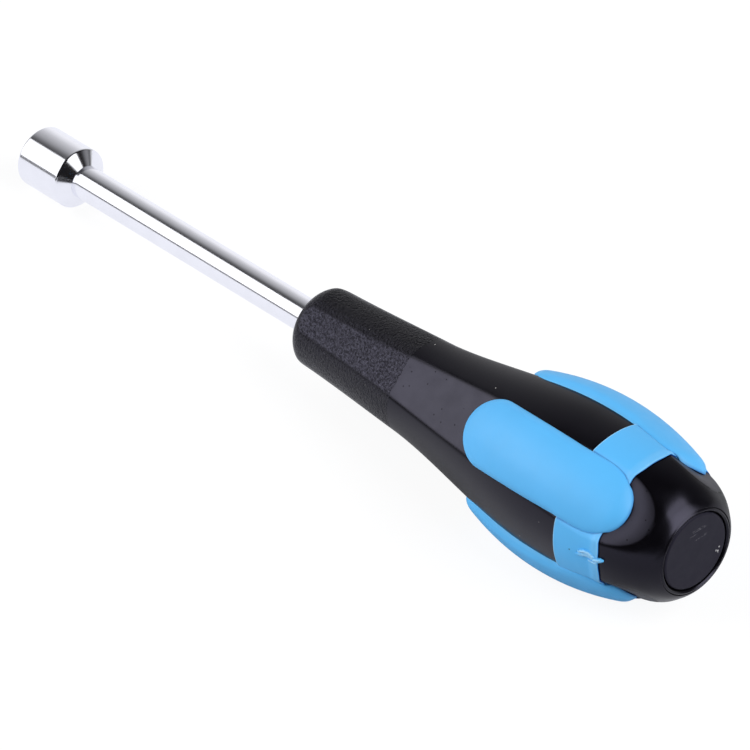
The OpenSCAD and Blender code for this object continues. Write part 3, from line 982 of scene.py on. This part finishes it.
class NUT_OT_pads(bpy.types.Operator):
    """Build the grip's pads, one crowned pad set round the handle by a node tree"""

    bl_idname = "nut.pads"
    bl_label = "Grip pads"
    arc_steps, side_steps, crown_rows = 36, 40, 10
    rim_shares = (0, 0.012, 0.045, 0.1, 0.18, 0.28, 0.4, 0.55, 0.72, 0.88, 1.0)
    under_rim, skirt = 0.16 * MM, 0.5 * MM

    def tree(self):
        g, given = new_tree("Pads round the handle", {"Pad": "Geometry", "Count": "Int", "First turn": "Float",
                                                      "Material": "Material"}, "Pads")
        points = g.out("GeometryNodeMeshLine", {"Count": given["Count"], "Offset": (0, 0, 0)})
        turn = given["First turn"] + g.out("GeometryNodeInputIndex") * (2 * math.pi / given["Count"])
        facing = g.out("FunctionNodeEulerToRotation", {0: g.vector(turn, 0, 0)})
        form = g.out("GeometryNodeInstanceOnPoints", {"Points": points, "Instance": given["Pad"], "Rotation": facing})
        return close_tree(g, form, given["Material"])

    def execute(self, context):
        p, handle = context.scene.nut_grip, context.scene.nut_handle
        half_w = p.pad_w / 2
        middle = handle.reach + handle.handle_len - p.pad_back - p.pad_len / 2
        seat = handle.belly_flats / 2 - p.pad_depth

        def seat_floor(a):
            return seat - p.floor_radius + math.sqrt(p.floor_radius**2 - a**2)

        def outline(inset):
            """Points round the pad's plan, with how far each faces along the handle."""
            arc, side = self.arc_steps, self.side_steps
            front, rear = half_w - p.pad_len / 2, p.pad_len / 2 - p.tip_len
            turns = [-QUARTER + math.pi * i / arc for i in range(arc)]
            points = []
            for t in turns:
                w = tip_reach(p, t) * (1 - inset / half_w)
                points.append((rear + w * math.cos(t), w * math.sin(t), math.cos(t) ** 2))
            w = half_w - inset
            points += [(rear + (front - rear) * i / side, w, 0.0) for i in range(side)]
            points += [(front - w * math.cos(t), -w * math.sin(t), math.cos(t) ** 2) for t in turns]
            points += [(front + (rear - front) * i / side, -w, 0.0) for i in range(side)]
            return [(a, b * pad_width(p, a), ahead) for a, b, ahead in points]

        insets = [s * p.rim_tip for s in self.rim_shares]
        insets += [p.rim_tip + (half_w - p.rim_tip) * i / self.crown_rows for i in range(1, self.crown_rows + 1)]
        rows = []
        for inset in (half_w, 0.6 * half_w, 0.2 * half_w):
            rows.append([(a, b, seat_floor(a)) for a, b, _ in outline(inset)])
        tucked = []
        for (a, b, ahead), (a_in, b_in, _) in zip(outline(0.0), outline(p.pad_tuck)):
            tuck = ahead if a > 0 else 0.0
            tucked.append((a + (a_in - a) * tuck, b + (b_in - b) * tuck, pad_height(p, a, b) - self.under_rim))
        rows.append([(a, b, height - self.skirt) for a, b, height in tucked])
        rows.append(tucked)
        # Painted shade on the lowest rows: the seat, the undercut and the foot of the rim, at the tips and most at the
        # rear tip
        marks = [-1.0] * len(rows) + [-0.7, -0.35, -0.1]
        for inset in insets:
            rows.append([(a, b, pad_height(p, a, b)) for a, b, _ in outline(inset)])
        verts = [(middle + a, height, b) for row in rows for a, b, height in row]
        mesh = new_mesh("grip_pads", verts, quads(len(rows), len(rows[0])))
        marks += [0.0] * (len(rows) - len(marks))
        rear = [ahead if a > 0 else 0.3 * ahead for a, _, ahead in outline(0.0)]
        note(mesh, "mark", [mark * facing for mark in marks for facing in rear])
        weld(mesh, 10 * WELD, turn_out=True)
        pads = new_object(mesh.name, mesh)
        material = bpy.data.materials["grip moulding"]
        bake(pads, self.tree(), {"Count": p.pads, "First turn": QUARTER / 2, "Material": material})
        place(pads, "grip_rubber", "grip_overmould")
        return {"FINISHED"}


class NUT_OT_cap(bpy.types.Operator):
    """Build the end cap"""

    bl_idname = "nut.cap"
    bl_label = "End cap"
    sunk, wider, rim_depth = 0.18 * MM, 0.34 * MM, 0.5 * MM
    stem_edge = 0.15 * MM
    # The face's rounded rim: drop below the face and distance in from the edge, in millimetres
    rim = ((0, 0.4), (0.015, 0.33), (0.05, 0.24), (0.1, 0.14), (0.15, 0.06), (0.2, 0.02), (0.27, 0))

    def execute(self, context):
        p = context.scene.nut_handle
        end = p.reach + p.handle_len
        top, r = end - self.sunk, p.cap_d / 2 + self.wider
        under = end - p.cap_thick + GAP
        tip = end - p.cap_thick - p.stem_len + 2 * GAP
        face = [(top, 0.0)] + [(top, r * s) for s in (0.3, 0.6, 0.84, 0.93)]
        rim = [(top - drop * MM, r - inset * MM) for drop, inset in self.rim]
        stem = p.stem_d / 2
        rear = rounded_outline([(top - self.rim_depth, r), (under, r), (under, stem), (tip, stem), (tip, 0.0)],
                               self.stem_edge)
        material = cap_plastic(context.scene, "cap moulding")
        cap = loft("end_cap_disc", turned(*face, *rim, *rear), ROUND_SEGMENTS, material)
        place(cap, "cap_plastic", "end_cap")
        return {"FINISHED"}


class NUT_OT_stage(bpy.types.Operator):
    """Set up the floor, the lamps, the world and the camera"""

    bl_idname = "nut.stage"
    bl_label = "Studio"
    plated = ("socket_head_steel", "shaft_rod")
    dark_room = (0.012, 0.011, 0.012)
    waist = (0.08, 0, 0)
    # Brightness of the sweep behind the tool, at places across it
    sweep_stops = ((0.34, 0.07), (0.45, 0.17), (0.54, 0.29), (0.625, 0.39), (0.7, 0.46), (0.77, 0.54), (0.845, 0.63),
                   (0.91, 0.77), (0.955, 0.88), (0.99, 0.97))

    def execute(self, context):
        scene = context.scene
        p = scene.nut_studio
        scene.view_settings.view_transform = "Standard"
        self.floor(scene)
        self.world(scene)
        self.lamp("key softbox", (-0.57, -0.64, 0.525), 1.0, (1.15, 0.74), p.key_level, "EXCLUDE")
        self.lamp("rear softbox", (0.82, 0.20, 0.53), 1.1, (0.86, 0.92), p.rear_level, "EXCLUDE")
        self.lamp("key panel", (-0.57, -0.64, 0.505), 1.0, (1.15, 0.79), p.panel_level, "INCLUDE")
        self.lamp("rear panel", (0.81, 0.264, 0.53), 1.1, (0.51, 0.92), p.panel_level, "INCLUDE")
        self.camera(scene, p)
        return {"FINISHED"}

    def floor(self, scene):
        """A sheet under the tool's lowest points: the head's rim and the handle's belly."""
        points = np.concatenate([np.array([v.co for v in o.data.vertices]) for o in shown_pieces()])
        rim = scene.nut_steel.head_d / 2
        rear = points[points[:, 0] > 60 * MM]
        slope = ((rear[:, 2] + rim) / rear[:, 0]).min()
        corners = [(-0.38, -1.2), (1.3, -1.2), (1.3, 1.2), (-0.38, 1.2)]
        mesh = new_mesh("studio_floor", [(x, y, slope * x - rim - GAP) for x, y in corners], [(0, 1, 2, 3)])
        mesh.materials.append(self.floor_finish(scene.nut_finish.floor))
        floor = new_object(mesh.name, mesh)
        floor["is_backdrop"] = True

    def floor_finish(self, tint):
        """White paper for the camera, dimmer in the tool's reflections."""
        g = new_finish("pale floor")
        path = g.outs("ShaderNodeLightPath")
        camera, glossy = path["Is Camera Ray"], path["Is Glossy Ray"]
        x, y, _ = g.parts(g.coords)
        # Reflections show the floor less bright where the handle's shadow lies
        shadow = g.step(y, -0.026, -0.009) * g.fall(y, 0.05, 0.08)
        shadow = shadow * (g.step(x, 0.066, 0.112) - g.step(x, 0.146, 0.168))
        mirrored = g.most(glossy, path["Is Transmission Ray"]) * g.mix(shadow, 0.8, 0.1)
        under = g.most(shadow * glossy, path["Is Diffuse Ray"] * 0.5)
        lit = g.out("ShaderNodeBsdfDiffuse", {"Color": blended(g, under, tint, toned(tint, 0.5))})
        glow = g.out("ShaderNodeEmission", {"Color": blended(g, camera, (1.03, 1.04, 1.1), (1.12, 1.12, 1.12))})
        # Away from the tool the sheet is plain white
        off = x - self.waist[0]
        plain = g.mix(g.step(off * off + y * y, 0.02, 0.1), 0.8, 1)
        sheet = g.out("ShaderNodeMixShader", {0: g.most(mirrored, camera * plain), 1: lit, 2: glow})
        # Painted reflection: beside the shaft, glancing reflections of the sheet show the dark room, so that the cone
        # behind the head also shows the dark room
        facing = g.out("ShaderNodeLayerWeight", {"Blend": 0.5}, "Facing")
        dark_reflection_mask = g.step(y + x * 0.33, -0.016, -0.010) * g.fall(y, 0, 0.01)
        dark_reflection_mask = dark_reflection_mask * g.step(x, 0.02, 0.03) * g.step(facing, 0.8, 0.83)
        room = g.out("ShaderNodeEmission", {"Color": (*self.dark_room, 1.0)})
        g.end("ShaderNodeOutputMaterial", g.out("ShaderNodeMixShader", {0: dark_reflection_mask * glossy, 1: sheet, 2: room}))
        return g.material

    def world(self, scene):
        """A white sweep behind the tool that darkens upwards, in a dim room."""
        scene.world = bpy.data.worlds.new("studio room")
        g = fresh_graph(scene.world)
        x, y, z = g.parts(g.out("ShaderNodeTexCoord", output="Generated"))
        toward = x * -0.6 + y * 0.8
        sweep = g.add("ShaderNodeValToRGB", {"Fac": toward})
        ramp = sweep.color_ramp.elements
        for at, _ in self.sweep_stops[1:-1]:
            ramp.new(at)
        ramp[0].position, ramp[-1].position = self.sweep_stops[0][0], self.sweep_stops[-1][0]
        for element, (_, level) in zip(ramp, self.sweep_stops):
            element.color = (level, level, level * 1.03, 1.0)
        below = g.fall(z, 0.014, 0.03) * g.fall(x, 0.3, 0.6)
        room = blended(g, g.step(z, 0.2, 0.5), (0.2, 0.2, 0.21), (0.07, 0.07, 0.075))
        corner = g.step(y, 0.58, 0.8) * g.fall(z, 0.2, 0.4)
        room = blended(g, g.step(x, -0.4, 0.2), room, blended(g, corner, self.dark_room, (0.24, 0.24, 0.25)))
        tint = blended(g, g.step(toward, 0.3, 0.36), room, Value(g, sweep.outputs[0]))
        seen = g.out("ShaderNodeLightPath", output="Is Camera Ray")
        tint = blended(g, g.most(below, seen), tint, (1, 1, 1))
        g.end("ShaderNodeOutputWorld", g.out("ShaderNodeBackground", {"Color": tint}))

    def lamp(self, name, toward, away, size, level, state):
        """A soft lamp aimed at the handle's waist, for the plated pieces only or for all others."""
        data = bpy.data.lights.new(name, "AREA")
        data.shape = "RECTANGLE"
        data.size, data.size_y = size
        data.energy = level * math.pi * size[0] * size[1]
        lamp = new_object(name, data)
        direction = Vector(toward).normalized()
        lamp.location = Vector(self.waist) + direction * away
        lamp.rotation_euler = direction.to_track_quat("Z", "Y").to_euler()
        group = bpy.data.collections.new(name)
        for piece in self.plated:
            group.objects.link(bpy.data.objects[piece])
        for item in group.collection_objects:
            item.light_linking.link_state = state
        lamp.light_linking.receiver_collection = group

    def camera(self, scene, p):
        """A long lens that sees the tool as the photograph does."""
        axis = Vector((1, 0, 0))
        out, down = (Vector((0, math.cos(a), math.sin(a))) for a in (p.camera_lift, p.camera_lift + QUARTER))
        sight = math.cos(p.camera_swing) * axis + math.sin(p.camera_swing) * out
        level = math.sin(p.camera_swing) * axis - math.cos(p.camera_swing) * out
        c, s = math.cos(p.camera_roll), math.sin(p.camera_roll)
        right = c * level - s * down
        up = -(s * level + c * down)
        data = bpy.data.cameras.new("studio camera")
        data.sensor_width = 36
        data.lens = p.lens
        data.clip_end = 20
        scene.camera = new_object(data.name, data)
        place_at = p.camera_aim * axis + p.camera_away * sight + p.camera_low * down
        scene.camera.matrix_world = Matrix.Translation(place_at) @ Matrix((right, up, sight)).transposed().to_4x4()


class NUT_PT_panel(bpy.types.Panel):
    """Lists the pieces' operators and their sizes"""

    bl_idname = "NUT_PT_panel"
    bl_label = "Nut driver"
    bl_space_type = "VIEW_3D"
    bl_region_type = "UI"
    bl_category = "Nut driver"

    def draw(self, context):
        for operator in OPERATORS:
            self.layout.operator(operator.bl_idname)
        for name, group in GROUPS.items():
            box = self.layout.box()
            box.label(text=group.__doc__)
            for size in group.__annotations__:
                box.prop(getattr(context.scene, name), size)


OPERATORS = (NUT_OT_head, NUT_OT_shaft, NUT_OT_core, NUT_OT_body, NUT_OT_ring, NUT_OT_pads, NUT_OT_cap, NUT_OT_stage)


def register():
    for group in GROUPS.values():
        bpy.utils.register_class(group)
    for name, group in GROUPS.items():
        setattr(bpy.types.Scene, name, PointerProperty(type=group))
    for item in (*OPERATORS, NUT_PT_panel):
        bpy.utils.register_class(item)


def unregister():
    for item in reversed((*OPERATORS, NUT_PT_panel)):
        bpy.utils.unregister_class(item)
    for name in GROUPS:
        delattr(bpy.types.Scene, name)
    for group in reversed(list(GROUPS.values())):
        bpy.utils.unregister_class(group)


def main():
    register()
    bpy.ops.nut.head()
    bpy.ops.nut.shaft()
    bpy.ops.nut.core()
    bpy.ops.nut.body()
    bpy.ops.nut.ring()
    bpy.ops.nut.pads()
    bpy.ops.nut.cap()
    bpy.ops.nut.stage()


if __name__ == "__main__":
    main()
